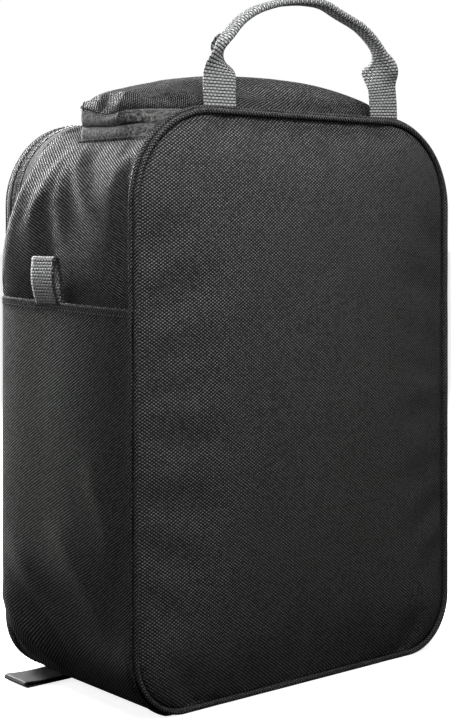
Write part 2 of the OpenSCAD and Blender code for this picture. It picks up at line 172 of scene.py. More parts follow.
class Graph:
    """A material under construction. Sockets and numbers can be given for every input."""

    def __init__(self, name, roughness, sheen=0.0, metallic=0.0, specular=0.3):
        self.material = bpy.data.materials.new(name)
        self.material.use_nodes = True
        self.tree = self.material.node_tree
        self.shader = self.tree.nodes["Principled BSDF"]
        self.shader.inputs["Roughness"].default_value = roughness
        self.shader.inputs["Metallic"].default_value = metallic
        self.shader.inputs["Specular IOR Level"].default_value = specular
        self.shader.inputs["Sheen Weight"].default_value = sheen
        self.shader.inputs["Sheen Roughness"].default_value = 0.45

    def plug(self, socket, value):
        if isinstance(value, bpy.types.NodeSocket):
            self.tree.links.new(value, socket)
        else:
            socket.default_value = value

    def math(self, operation, *values, clamp=False):
        node = self.tree.nodes.new("ShaderNodeMath")
        node.operation = operation
        node.use_clamp = clamp
        for socket, value in zip(node.inputs, values):
            self.plug(socket, value)
        return node.outputs[0]

    def weave_axes(self):
        """The two lengths along the cloth, in metres."""
        coordinates = self.tree.nodes.new("ShaderNodeTexCoord")
        split = self.tree.nodes.new("ShaderNodeSeparateXYZ")
        self.tree.links.new(coordinates.outputs["UV"], split.inputs[0])
        return split.outputs[0], split.outputs[1]

    def place(self):
        return self.tree.nodes.new("ShaderNodeTexCoord").outputs["Object"]

    def wave(self, length, pitch, offset=0.0):
        """0.5 + 0.5 cos of a length, once per pitch."""
        angle = self.math("MULTIPLY_ADD", length, TAU / pitch, offset)
        return self.math("MULTIPLY_ADD", self.math("COSINE", angle), 0.5, 0.5)

    def noise(self, scale, detail=2.0, vector=None, roughness=0.5):
        node = self.tree.nodes.new("ShaderNodeTexNoise")
        node.inputs["Scale"].default_value = scale
        node.inputs["Detail"].default_value = detail
        node.inputs["Roughness"].default_value = roughness
        self.tree.links.new(vector or self.place(), node.inputs["Vector"])
        return node.outputs["Fac"]

    def between(self, factor, low, high):
        """low at 0 and high at 1."""
        node = self.tree.nodes.new("ShaderNodeMapRange")
        self.plug(node.inputs["Value"], factor)
        node.inputs["To Min"].default_value = low
        node.inputs["To Max"].default_value = high
        return node.outputs[0]

    def step(self, value, low, high):
        """A smooth step from 0 to 1 between low and high."""
        node = self.tree.nodes.new("ShaderNodeMapRange")
        node.interpolation_type = "SMOOTHSTEP"
        self.plug(node.inputs["Value"], value)
        node.inputs["From Min"].default_value = low
        node.inputs["From Max"].default_value = high
        return node.outputs[0]

    def mix(self, factor, low, high):
        node = self.tree.nodes.new("ShaderNodeMix")
        node.data_type = "RGBA"
        self.plug(node.inputs["Factor"], factor)
        self.plug(node.inputs["A"], low)
        self.plug(node.inputs["B"], high)
        return node.outputs["Result"]

    def colour(self, value):
        self.plug(self.shader.inputs["Base Color"], value)

    def rough(self, factor, low, high):
        self.plug(self.shader.inputs["Roughness"], self.between(factor, low, high))

    def threads(self, mask, dark, light):
        """Colours raised threads over dark gaps, with worn patches and single bright fibres."""
        worn = self.between(self.noise(45, 3), 0.65, 1.35)
        single = self.between(self.step(self.noise(520, 1), 0.3, 0.7), 0.45, 1.55)
        shade = self.math("MULTIPLY", self.math("MULTIPLY", mask, worn), single, clamp=True)
        self.colour(self.mix(shade, grey(dark), grey(light)))

    def bump(self, height, distance, strength=1.0):
        node = self.tree.nodes.new("ShaderNodeBump")
        node.inputs["Strength"].default_value = strength
        node.inputs["Distance"].default_value = distance
        self.tree.links.new(height, node.inputs["Height"])
        if self.shader.inputs["Normal"].is_linked:
            self.tree.links.new(self.shader.inputs["Normal"].links[0].from_socket, node.inputs["Normal"])
        self.tree.links.new(node.outputs[0], self.shader.inputs["Normal"])


def grey(value, warm=0.0):
    return (value * (1 + warm), value, value * (1 - warm), 1)


def canvas_material(name, pitch_u, pitch_v, dark, light, depth):
    """Coarse plain weave: thread crossings stand up in staggered rows."""
    g = Graph(name, roughness=0.5, specular=0.55)
    u, v = g.weave_axes()
    weave = g.math("MULTIPLY", g.wave(u, pitch_u), g.wave(v, pitch_v))
    other = g.math("MULTIPLY", g.wave(u, pitch_u, math.pi), g.wave(v, pitch_v, math.pi))
    crossings = g.math("ADD", weave, other)
    dots = g.step(crossings, 0.45, 0.95)
    g.threads(dots, dark, light)
    g.rough(dots, 0.95, 0.36)
    g.bump(crossings, depth)
    return g.material


def twill_material(name, pitch, dark, light, depth, slope=1.0):
    """Twill: raised diagonal lines, each broken up by the threads that cross it."""
    g = Graph(name, roughness=0.5, specular=0.4)
    u, v = g.weave_axes()
    diagonal = g.math("MULTIPLY_ADD", v, slope, u)
    across = g.math("SUBTRACT", g.math("MULTIPLY", v, slope), u)
    lines = g.wave(diagonal, pitch * math.sqrt(1 + slope * slope))
    beads = g.wave(across, pitch * 1.5)
    height = g.math("MULTIPLY", lines, g.between(beads, 0.5, 1.0))
    raised = g.step(height, 0.3, 0.9)
    g.threads(raised, dark, light)
    g.rough(raised, 0.95, 0.44)
    g.bump(height, depth)
    return g.material


def webbing_material(name, rib, column, dark, light, depth):
    """Woven tape: ribs across it, in staggered short floats."""
    g = Graph(name, roughness=0.55, sheen=0.1, specular=0.3)
    u, v = g.weave_axes()
    row = g.math("FLOOR", g.math("DIVIDE", v, rib))
    stagger = g.math("MULTIPLY", row, math.pi)
    angle = g.math("ADD", g.math("MULTIPLY", u, TAU / column), stagger)
    floats = g.math("MULTIPLY_ADD", g.math("COSINE", angle), 0.5, 0.5)
    ribs = g.math("ABSOLUTE", g.math("SINE", g.math("MULTIPLY", v, math.pi / rib)))
    height = g.math("MULTIPLY", g.step(ribs, 0.15, 0.9), g.between(floats, 0.4, 1.0))
    fibre = g.math("MULTIPLY", height, g.between(g.noise(600, 2), 0.55, 1.45), clamp=True)
    g.colour(g.mix(fibre, grey(dark, -0.02), grey(light, -0.01)))
    g.bump(height, depth)
    return g.material


def tape_material():
    """Zip tape: fine, slightly furry herringbone."""
    g = Graph("zip_tape", roughness=0.8, sheen=0.15)
    u, v = g.weave_axes()
    chevron = g.math("PINGPONG", u, 1.4 * MM)
    lines = g.wave(g.math("ADD", v, chevron), 1.25 * MM)
    grain = g.step(g.noise(480, 2, roughness=0.7), 0.38, 0.64)
    height = g.math("MULTIPLY", g.between(lines, 0.45, 1.0), grain, clamp=True)
    g.colour(g.mix(height, grey(0.004), grey(0.13, 0.015)))
    g.bump(height, 0.15 * MM)
    return g.material


def lining_material():
    g = Graph("lining", roughness=0.55, sheen=0.1)
    u, v = g.weave_axes()
    threads = g.math("MULTIPLY", g.wave(u, 0.9 * MM), g.wave(v, 0.9 * MM))
    cloud = g.noise(16, 2)
    g.colour(g.mix(g.math("MULTIPLY", g.between(threads, 0.6, 1.0), g.between(cloud, 0.8, 1.2), clamp=True),
                   grey(0.015), grey(0.06)))
    g.bump(threads, 0.08 * MM)
    return g.material


def plastic_material(name, value, roughness, grain, metallic=0.0):
    g = Graph(name, roughness=roughness, metallic=metallic, specular=0.5)
    cloud = g.noise(grain, 3)
    g.colour(g.mix(cloud, grey(value * 0.75), grey(value * 1.3)))
    g.bump(g.noise(grain * 6, 2), 0.03 * MM, 0.4)
    return g.material


def thread_material():
    g = Graph("thread", roughness=0.55, sheen=0.1)
    g.colour(g.mix(g.noise(1500, 2), grey(0.03), grey(0.11)))
    g.bump(g.noise(3000, 1), 0.05 * MM)
    return g.material


M = {
    "canvas": canvas_material("canvas", 2.8 * MM, 2.0 * MM, 0.001, 0.15, 0.5 * MM),
    "twill": twill_material("twill", 1.5 * MM, 0.001, 0.14, 0.35 * MM, slope=1.6),
    "twill_pocket": twill_material("twill_pocket", 1.5 * MM, 0.001, 0.14, 0.35 * MM, slope=1.3),
    "piping": twill_material("piping", 1.5 * MM, 0.001, 0.13, 0.3 * MM),
    "webbing": webbing_material("webbing", 1.9 * MM, 3.0 * MM, 0.01, 0.44, 0.3 * MM),
    # the side loops' grey webbing, painted far darker than the handle's: painted shade for the shadow that
    # falls on the loops
    "webbing_loop_painted_shade": webbing_material("webbing_loop_painted_shade", 1.9 * MM, 3.0 * MM, 0.003, 0.065, 0.3 * MM),
    "webbing_black": webbing_material("webbing_black", 1.9 * MM, 3.0 * MM, 0.003, 0.05, 0.3 * MM),
    "tape": tape_material(),
    "lining": lining_material(),
    "coil": plastic_material("coil", 0.012, 0.38, 300),
    "board": plastic_material("board", 0.03, 0.6, 400),
    "enamel": plastic_material("enamel", 0.02, 0.32, 500, metallic=0.6),
    "pull": plastic_material("pull", 0.02, 0.5, 400),
    "thread": thread_material(),
}


# ---------------------------------------------------------------- mesh building

def add_object(name, mesh, material):
    piece = bpy.data.objects.new(name, mesh)
    bpy.context.scene.collection.objects.link(piece)
    mesh.materials.append(M[material])
    mesh.shade_smooth()
    return piece


def mesh_from(name, vertices, faces, uv):
    """A mesh with one place on the cloth for each vertex, in metres."""
    mesh = bpy.data.meshes.new(name)
    mesh.from_pydata([tuple(p) for p in vertices], [], [tuple(int(i) for i in f) for f in faces])
    layer = mesh.uv_layers.new(name="weave")
    corner = np.zeros(len(mesh.loops), int)
    mesh.loops.foreach_get("vertex_index", corner)
    layer.data.foreach_set("uv", np.asarray(uv, float)[corner].ravel())
    mesh.validate()
    mesh.update()
    return mesh


def grid_faces(rows, columns, flip=False, keep=None):
    index = np.arange(rows * columns).reshape(rows, columns)
    quads = np.stack([index[:-1, :-1], index[:-1, 1:], index[1:, 1:], index[1:, :-1]], axis=-1)
    if flip:
        quads = quads[..., ::-1]
    return quads[keep] if keep is not None else quads.reshape(-1, 4)


def lengths(points, axis):
    """Length run along one axis of a grid of points, starting at 0."""
    steps = np.linalg.norm(np.diff(points, axis=axis), axis=2)
    start = np.zeros_like(np.take(steps, [0], axis=axis))
    return np.concatenate([start, np.cumsum(steps, axis=axis)], axis=axis)


def run_along(path):
    """Length run along a path to each of its points."""
    return np.concatenate([[0], np.cumsum(np.linalg.norm(np.diff(path, axis=0), axis=1))])


def resample(path, run, where):
    """Points of a path at lengths along it."""
    return np.stack([np.interp(where, run, path[:, k]) for k in range(path.shape[1])], axis=1)


def tangents(path, closed=False):
    path = np.asarray(path, float)
    if closed:
        tangent = np.roll(path, -1, axis=0) - np.roll(path, 1, axis=0)
    else:
        tangent = np.gradient(path, axis=0)
    return tangent / np.maximum(np.linalg.norm(tangent, axis=1, keepdims=True), 1e-12)


def uv_grid(across, along):
    """Places on the cloth for a grid of points, columns across and rows along."""
    return np.stack(np.meshgrid(across, along), axis=-1)


def grid_piece(name, points, material, flip=False, keep=None, uv=None):
    """A cloth from a grid of points."""
    points = np.asarray(points, float)
    rows, columns = points.shape[:2]
    if uv is None:
        uv = uv_grid(lengths(points, 1)[rows // 2], lengths(points, 0)[:, columns // 2])
    mesh = mesh_from(name, points.reshape(-1, 3), grid_faces(rows, columns, flip, keep), uv.reshape(-1, 2))
    edit = bmesh.new()
    edit.from_mesh(mesh)
    loose = [v for v in edit.verts if not v.link_faces]
    bmesh.ops.delete(edit, geom=loose, context="VERTS")
    edit.to_mesh(mesh)
    edit.free()
    return add_object(name, mesh, material)


def thicken(piece, thickness, inward=True):
    modifier = piece.modifiers.new("thickness", "SOLIDIFY")
    modifier.thickness = thickness
    modifier.offset = -1 if inward else 1
    modifier.use_even_offset = True
    modifier.use_quality_normals = True
    return piece


def settle(piece):
    """Applies every modifier, so that what follows sees the final mesh."""
    graph = bpy.context.evaluated_depsgraph_get()
    mesh = bpy.data.meshes.new_from_object(piece.evaluated_get(graph))
    piece.modifiers.clear()
    piece.data = mesh
    return piece


class Outline:
    """A rounded rectangle in XZ, measured by length from its bottom centre towards +X and round."""

    def __init__(self, inset, top, r_top, r_bottom=None):
        r_bottom = BOTTOM_R if r_bottom is None else r_bottom
        self.w, self.low, self.high = HALF_W - inset, inset, top - inset
        self.rt, self.rb = r_top - inset, r_bottom - inset
        w, low, high, rt, rb = self.w, self.low, self.high, self.rt, self.rb
        quarter = math.pi / 2
        self.parts = [
            ("line", (0, low), (w - rb, low)),
            ("arc", (w - rb, low + rb), rb, -quarter),
            ("line", (w, low + rb), (w, high - rt)),
            ("arc", (w - rt, high - rt), rt, 0),
            ("line", (w - rt, high), (rt - w, high)),
            ("arc", (rt - w, high - rt), rt, quarter),
            ("line", (-w, high - rt), (-w, low + rb)),
            ("arc", (rb - w, low + rb), rb, 2 * quarter),
            ("line", (rb - w, low), (0, low)),
        ]
        self.ends = np.cumsum([self.size(p) for p in self.parts])
        self.length = self.ends[-1]

    @staticmethod
    def size(part):
        if part[0] == "arc":
            return part[2] * math.pi / 2
        return math.dist(part[1], part[2])

    def at(self, s):
        """x, z and the outward normal at each length s."""
        s = np.asarray(s, float) % self.length
        out = np.zeros(s.shape + (4,))
        start = 0
        for part, end in zip(self.parts, self.ends):
            here = (s >= start - 1e-12) & (s <= end + 1e-12)
            t = s[here] - start
            if part[0] == "line":
                a, b = np.array(part[1]), np.array(part[2])
                along = (b - a) / np.linalg.norm(b - a)
                out[here, 0] = a[0] + along[0] * t
                out[here, 1] = a[1] + along[1] * t
                out[here, 2], out[here, 3] = along[1], -along[0]
            else:
                angle = part[3] + t / part[2]
                out[here, 2], out[here, 3] = np.cos(angle), np.sin(angle)
                out[here, 0] = part[1][0] + part[2] * np.cos(angle)
                out[here, 1] = part[1][1] + part[2] * np.sin(angle)
            start = end
        return out


def bump_at(value, centre, width):
    """A bell curve, 1 at its centre."""
    return np.exp(-(((value - centre) / width) ** 2))


def off_outline(at, y, push=0.0):
    """Points at a depth, pushed out from an outline along its normals."""
    return np.stack([at[:, 0] + at[:, 2] * push, np.full(len(at), y), at[:, 1] + at[:, 3] * push], axis=1)


def outward(at):
    """An outline's normals in space."""
    return np.stack([at[:, 2], np.zeros(len(at)), at[:, 3]], axis=1)


def ripple(s, first, second, shift=0.0):
    """Two sine waves multiplied, their lengths in millimetres."""
    return np.sin(s / (first * MM)) * np.sin(s / (second * MM) + shift)


def smooth_step(value, low, high):
    t = np.clip((value - low) / (high - low), 0, 1)
    return t * t * (3 - 2 * t)


def soft_min(a, b, blend):
    """The smaller of two heights, rounded where they cross."""
    h = np.clip(0.5 + 0.5 * (b - a) / blend, 0, 1)
    return b * (1 - h) + a * h - blend * h * (1 - h)


# ---------------------------------------------------------------- the bag's shape

BACK = Outline(0, TOP, TOP_R)


def section(y):
    """The bag's outline at a depth: the back panel's, easing into the door's."""
    t = float(smooth_step(y, -25 * MM, 5 * MM))
    top = DOOR_TOP + t * (TOP - DOOR_TOP)
    return Outline(0, top, DOOR_R + t * (TOP_R - DOOR_R))


def ridge(u, v, start, end, width, height, rise=(-0.1, 0.3), fall=(0.7, 1.1)):
    """A soft fold along a line in millimetres. rise and fall are where it swells and fades, 0 to 1 along it."""
    a, b = np.array(start) * MM, np.array(end) * MM
    run = np.linalg.norm(b - a)
    along = (b - a) / run
    t = ((u - a[0]) * along[0] + (v - a[1]) * along[1]) / run
    d = (u - a[0]) * -along[1] + (v - a[1]) * along[0]
    fade = smooth_step(t, *rise) * (1 - smooth_step(t, *fall))
    return height * MM * fade * np.exp(-((d / (width * MM)) ** 2))


# folds in each side cloth and each pocket: from y, z to y, z, then width and height
SIDE_FOLDS = {
    1: [((-8, 338), (-20, 285), 5, 1.8), ((-4, 338), (10, 270), 5, 1.6),
        ((2, 336), (34, 290), 5, 1.6), ((-36, 320), (-30, 255), 5, 1.0)],
    -1: [((-8, 338), (-26, 280), 6, 1.6), ((0, 338), (22, 276), 6, 1.8)],
}
POCKET_FOLDS = {
    1: [((-30, 95), (20, 30), 6, 2.2), ((5, 110), (48, 48), 6, 1.8),
        ((-38, 60), (-10, 15), 5, 1.8), ((30, 150), (58, 90), 6, 1.2)],
    -1: [((-34, 100), (16, 34), 6, 2.0), ((0, 130), (46, 60), 7, 1.6)],
}


def toward_front(y):
    """0 at the back seam, 1 at the front seam."""
    return np.clip((Y_RIDGE - y) / (Y_RIDGE - Y_SEAM), 0, 1)


def side_bulge(y, z, side):
    """How far the side cloth stands out from the flat gusset at a point."""
    rise = np.sin(np.clip(toward_front(y) / 0.74, 0, 1) * math.pi / 2) ** 1.5
    roll = np.clip((y - Y_SEAM) / (12 * MM), 0, 1)
    turn = np.sqrt(np.maximum(1 - (1 - roll) ** 2, 0))
    upright = smooth_step(z, 12 * MM, 90 * MM) * (1 - smooth_step(z, 220 * MM, 338 * MM))
    low_front = smooth_step(z, 6 * MM, 44 * MM) * (1 - smooth_step(z, 255 * MM, 348 * MM))
    front = 1 - smooth_step(y - Y_SEAM, 8 * MM, 50 * MM)
    out = rise * turn * (6.5 * upright * (1 - front) + 9.5 * low_front * front) * MM
    hollow = smooth_step(z, 40 * MM, 90 * MM) * (1 - smooth_step(z, 300 * MM, 335 * MM))
    out -= 2.2 * MM * bump_at(y, 60 * MM, 7 * MM) * hollow
    for fold in SIDE_FOLDS[side]:
        out += ridge(y, z, *fold)
    return out


def forward_roll(y, z):
    """How far the side cloth puffs forward over the front zip, growing down from the top of the door."""
    upright = smooth_step(z, 8 * MM, 60 * MM) * (1 - smooth_step(z, 268 * MM, 350 * MM))
    near = smooth_step(y - Y_SEAM, 0, 8 * MM) * (1 - smooth_step(y - Y_SEAM, 10 * MM, 88 * MM))
    return 19 * MM * near * upright


def pocket_bulge(y, z, side):
    """How far a pocket stands out from the side cloth under it."""
    across = np.sin(math.pi * toward_front(y)) ** 0.9
    out = 1.1 * MM + 2.4 * MM * across * smooth_step(z, 8 * MM, 90 * MM)
    for fold in POCKET_FOLDS[side]:
        out += ridge(y, z, *fold)
    return out


def slope_z(y):
    """Height of the sloping top of the front compartment."""
    t = (y - Y_SEAM) / (HOOD_Y - Y_SEAM)
    return DOOR_TOP + min(max(t, 0), 1) * (HOOD_Z - DOOR_TOP)


def length_to_height(outline, z):
    """Length from the bottom centre up the right side to a height."""
    s = np.linspace(CORNER_X, outline.length / 2, 2000)
    return float(s[np.argmax(outline.at(s)[:, 1] >= z - 1e-9)])


# ---------------------------------------------------------------- cloth and padding

def drape(piece, sewn_down, slack, frames, pressure, bending, cap):
    """Lets a cloth settle with Blender's Cloth, and keeps the shape in its mesh. No point moves past cap."""
    scene = bpy.context.scene
    group = piece.vertex_groups.new(name="sewn")
    group.add([int(i) for i in sewn_down], 1.0, "REPLACE")
    modifier = piece.modifiers.new("cloth", "CLOTH")
    settings = modifier.settings
    settings.quality = 7
    settings.mass = 0.15
    settings.tension_stiffness = settings.compression_stiffness = 12
    settings.shear_stiffness = 4
    settings.bending_stiffness = bending
    settings.tension_damping = settings.compression_damping = 8
    settings.vertex_group_mass = "sewn"
    settings.shrink_min = -slack
    settings.use_pressure = True
    settings.uniform_pressure_force = pressure
    settings.effector_weights.gravity = 0
    modifier.collision_settings.use_collision = False
    modifier.point_cache.frame_end = frames
    for frame_number in range(1, frames + 1):
        scene.frame_set(frame_number)
    result = piece.evaluated_get(bpy.context.evaluated_depsgraph_get()).data
    count = len(piece.data.vertices)
    start, moved = np.zeros(count * 3), np.zeros(count * 3)
    piece.data.vertices.foreach_get("co", start)
    result.vertices.foreach_get("co", moved)
    step = (moved - start).reshape(-1, 3)
    far = np.linalg.norm(step, axis=1)
    shorten = cap * np.tanh(far / cap) / np.maximum(far, 1e-9)
    piece.modifiers.remove(modifier)
    piece.vertex_groups.remove(group)
    scene.frame_set(1)
    piece.data.vertices.foreach_set("co", (start.reshape(-1, 3) + step * shorten[:, None]).ravel())
    piece.data.update()


def border(piece):
    """Vertices on the open edges of a piece."""
    edit = bmesh.new()
    edit.from_mesh(piece.data)
    found = [v.index for v in edit.verts if any(len(e.link_faces) < 2 for e in v.link_edges)]
    edit.free()
    return found


def declare_sheet(piece, with_pieces=()):
    """Reads a cloth's UV layout in metres; no flat size is declared."""
    layer = piece.data.uv_layers[0].data
    uv = np.zeros(len(layer) * 2)
    layer.foreach_get("uv", uv)
    uv = uv.reshape(-1, 2)


def sewn(piece, body, material_slot, *nodes):
    """Puts a piece on its body, in place of its CAD nodes."""
    if nodes:
        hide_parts(*nodes)
    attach(piece, body)
    return piece


def rooted(piece, node):
    """Applies a webbing piece's modifiers, hides its CAD node and bakes its placement into its mesh."""
    settle(piece)
    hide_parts(node)
    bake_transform(piece)


def finish_cloth(piece, thickness, body, material_slot, *nodes, inward=True):
    thicken(piece, thickness, inward)
    sewn(piece, body, material_slot, *nodes)
    declare_sheet(piece)


# ---------------------------------------------------------------- sweeps

def close_tube(piece):
    """Joins a tube's seam and fills its ends."""
    edit = bmesh.new()
    edit.from_mesh(piece.data)
    bmesh.ops.remove_doubles(edit, verts=edit.verts, dist=1e-7)
    bmesh.ops.holes_fill(edit, edges=[e for e in edit.edges if e.is_boundary], sides=0)
    bmesh.ops.recalc_face_normals(edit, faces=edit.faces)
    edit.to_mesh(piece.data)
    edit.free()
    piece.data.shade_smooth()
    return piece


def tube(name, path, radius, material, up, sides=12, closed=False, flat=1.0):
    """A round cord along a path. up is a direction, or one for each point; flat narrows it along up."""
    path = np.asarray(path, float)
    tangent = tangents(path, closed)
    across = np.cross(tangent, np.broadcast_to(np.asarray(up, float), path.shape))
    across /= np.linalg.norm(across, axis=1, keepdims=True)
    out = np.cross(across, tangent)
    radius = np.broadcast_to(np.asarray(radius, float), (len(path),))
    angle = np.linspace(0, TAU, sides + 1)
    ring = (across[:, None] * np.cos(angle)[None, :, None]
            + out[:, None] * (flat * np.sin(angle))[None, :, None])
    points = path[:, None] + ring * radius[:, None, None]
    if closed:
        points = np.concatenate([points, points[:1]])
    uv = uv_grid(angle * float(radius.mean()), run_along(points[:, 0]))
    return close_tube(grid_piece(name, points, material, uv=uv))


def stitches(name, path, normal, length=2.6 * MM, gap=0.9 * MM, radius=0.32 * MM):
    """A row of lockstitches along a path, each a short thread that dips into the cloth at its ends."""
    lift = 0.1 * MM
    sides, rings = 6, 6
    normal = np.broadcast_to(np.asarray(normal, float), path.shape)
    run = run_along(path)
    count = max(1, int(run[-1] / (length + gap)))
    starts = (np.arange(count) + 0.5) * run[-1] / count - length / 2
    angle = np.linspace(0, TAU, sides, endpoint=False)
    t = np.linspace(0, 1, rings)
    arch = np.sin(math.pi * t)
    thick = radius * (0.45 + 0.55 * arch)
    vertices, faces = [], []
    for s in starts:
        centre = resample(path, run, s + t * length)
        out = resample(normal, run, s + t * length)
        across = np.cross(tangents(centre), out)
        across /= np.linalg.norm(across, axis=1, keepdims=True)
        centre = centre + out * ((lift + radius) * arch - 0.4 * radius)[:, None]
        base = len(vertices)
        for k in range(rings):
            for a in angle:
                vertices.append(centre[k] + thick[k] * (across[k] * math.cos(a) + out[k] * 0.8 * math.sin(a)))
        for k in range(rings - 1):
            for q in range(sides):
                r = (q + 1) % sides
                faces.append([base + k * sides + q, base + k * sides + r,
                              base + (k + 1) * sides + r, base + (k + 1) * sides + q])
        faces.append([base + q for q in range(sides)])
        faces.append([base + (rings - 1) * sides + q for q in reversed(range(sides))])
    return add_object(name, mesh_from(name, vertices, faces, np.zeros((len(vertices), 2))), "thread")


def coil(name, path, normal):
    """A zip's coil: a flattened spring along a path."""
    wire, reach, pitch = 0.42 * MM, 0.85 * MM, 1.25 * MM
    points_per_turn = 8
    run = run_along(path)
    where = np.linspace(0, run[-1], int(run[-1] / pitch * points_per_turn))
    centre, out = resample(path, run, where), resample(normal, run, where)
    across = np.cross(tangents(centre), out)
    across /= np.maximum(np.linalg.norm(across, axis=1, keepdims=True), 1e-9)
    phase = where / pitch * TAU
    spring = (centre + across * (reach * np.cos(phase))[:, None]
              + out * (0.55 * reach * np.sin(phase))[:, None])
    return tube(name, spring, wire, "coil", out, sides=5)


# ---------------------------------------------------------------- back panel, door panel and their piping

def panel_grid(outline, columns=72, arc_rows=14, straight_rows=54, high=None):
    """Points x, z inside an outline, in rows that run right across it."""
    first, last = outline.ends[0], outline.ends[3]
    low_end, high_end = outline.ends[1], outline.ends[2]
    s = np.concatenate([np.linspace(first, low_end, arc_rows),
                        np.linspace(low_end, high_end, straight_rows)[1:],
                        np.linspace(high_end, last, arc_rows)[1:]])
    edge = outline.at(s)
    if high is not None:
        keep = edge[:, 1] < high - 1 * MM
        last_x = np.interp(high, edge[:, 1], edge[:, 0])
        edge = np.concatenate([edge[keep, :2], [[last_x, high]]])
    across = np.linspace(-1, 1, columns)
    x = edge[:, 0:1] * across[None, :]
    z = np.repeat(edge[:, 1:2], columns, axis=1)
    return x, z


def inside_distance(outline, x, z):
    """How far points lie inside an outline."""
    ax = np.abs(x)
    top = outline.rt - np.hypot(ax - (outline.w - outline.rt), z - (outline.high - outline.rt))
    bottom = outline.rb - np.hypot(ax - (outline.w - outline.rb), z - (outline.low + outline.rb))
    flat = np.minimum(np.minimum(outline.w - ax, outline.high - z), z - outline.low)
    in_top = (z > outline.high - outline.rt) & (ax > outline.w - outline.rt)
    in_bottom = (z < outline.low + outline.rb) & (ax > outline.w - outline.rb)
    return np.where(in_top, top, np.where(in_bottom, bottom, flat))


def crowned_panel(name, outline, y0, direction, crown, broad, material, high=None, thickness=0.0, pillow=0.0):
    """A padded panel whose face stands out from its seam, facing direction along Y."""
    x, z = panel_grid(outline, high=high)
    d = np.maximum(inside_distance(outline, x, z), 0)
    tall = (outline.high + outline.low) / 2
    bow = (1 - (x / outline.w) ** 2) * (1 - ((z - tall) / (outline.high - tall)) ** 2)
    out = (crown * (1 - np.exp(-d / (5 * MM))) + pillow * (1 - np.exp(-d / (26 * MM)))
           + broad * np.maximum(bow, 0))
    points = np.stack([x, y0 + direction * out, z], axis=-1)
    piece = grid_piece(name, points, material, flip=direction > 0, uv=np.stack([x, z], axis=-1))
    if thickness:
        drape(piece, border(piece), slack=0.006, pressure=1.2, frames=16, bending=3, cap=3 * MM)
        thicken(piece, thickness)
    return piece


def piping_tube(name, outline_top, r, y, with_bottom):
    """Piping round a panel, either all round or open along the bottom."""
    inset = Outline(PIPING_R, outline_top, r)
    start = 0 if with_bottom else CORNER_X
    s = np.linspace(start, inset.length - start, 460, endpoint=not with_bottom)
    at = inset.at(s)
    path = off_outline(at, y)
    thick = PIPING_R * (1 + 0.05 * ripple(s, 9, 23, 1))
    path[:, 2] = np.maximum(path[:, 2], thick)
    return tube(name, path, thick, "piping", outward(at), sides=14, closed=with_bottom)


def make_back():
    cover = crowned_panel("back_cover", Outline(3.4 * MM, TOP, TOP_R), Y_BACK - 3.6 * MM, 1,
                          3.0 * MM, 3.4 * MM, "canvas", thickness=5 * MM, pillow=2.8 * MM)
    sewn(cover, "body", "panel_fabric", "back_panel", "back_foam")
    cord = piping_tube("back_piping_cord", TOP, TOP_R, Y_BACK - PIPING_R, True)
    sewn(cord, "body", "piping", "back_piping")
    s = np.linspace(0, BACK.length, 420, endpoint=False)
    at = BACK.at(s)
    path = off_outline(at, Y_RIDGE - 0.9 * MM, 0.5 * MM + 0.25 * MM * ripple(s, 7, 31))
    path[:, 2] = np.maximum(path[:, 2], 1.4 * MM)
    lip = tube("back_seam_lip", path, 1.5 * MM, "piping", outward(at), sides=10, closed=True, flat=0.85)
    sewn(lip, "body", "gusset_twill")
    inner = crowned_panel("back_lining_cloth", Outline(4.5 * MM, TOP, TOP_R), Y_BACK - 7.6 * MM, -1,
                          0.2 * MM, 0.3 * MM, "lining")
    finish_cloth(inner, LINING, "body", "lining", "back_lining")


def make_door():
    cover = crowned_panel("door_cover", Outline(2.8 * MM, DOOR_TOP, DOOR_R), Y_FRONT + 2.2 * MM, -1,
                          2.4 * MM, 2.4 * MM, "canvas", thickness=5 * MM)
    sewn(cover, "door", "panel_fabric", "door_panel", "door_foam")
    cord = piping_tube("door_piping_cord", DOOR_TOP, DOOR_R, Y_FRONT + PIPING_R, False)
    sewn(cord, "door", "piping", "door_piping")
    inner = crowned_panel("door_lining_cloth", Outline(3.6 * MM, DOOR_TOP, DOOR_R), Y_FRONT + 7.4 * MM, 1,
                          0.1 * MM, 0.2 * MM, "lining")
    finish_cloth(inner, LINING, "door", "lining", "door_lining")
    make_door_zip()


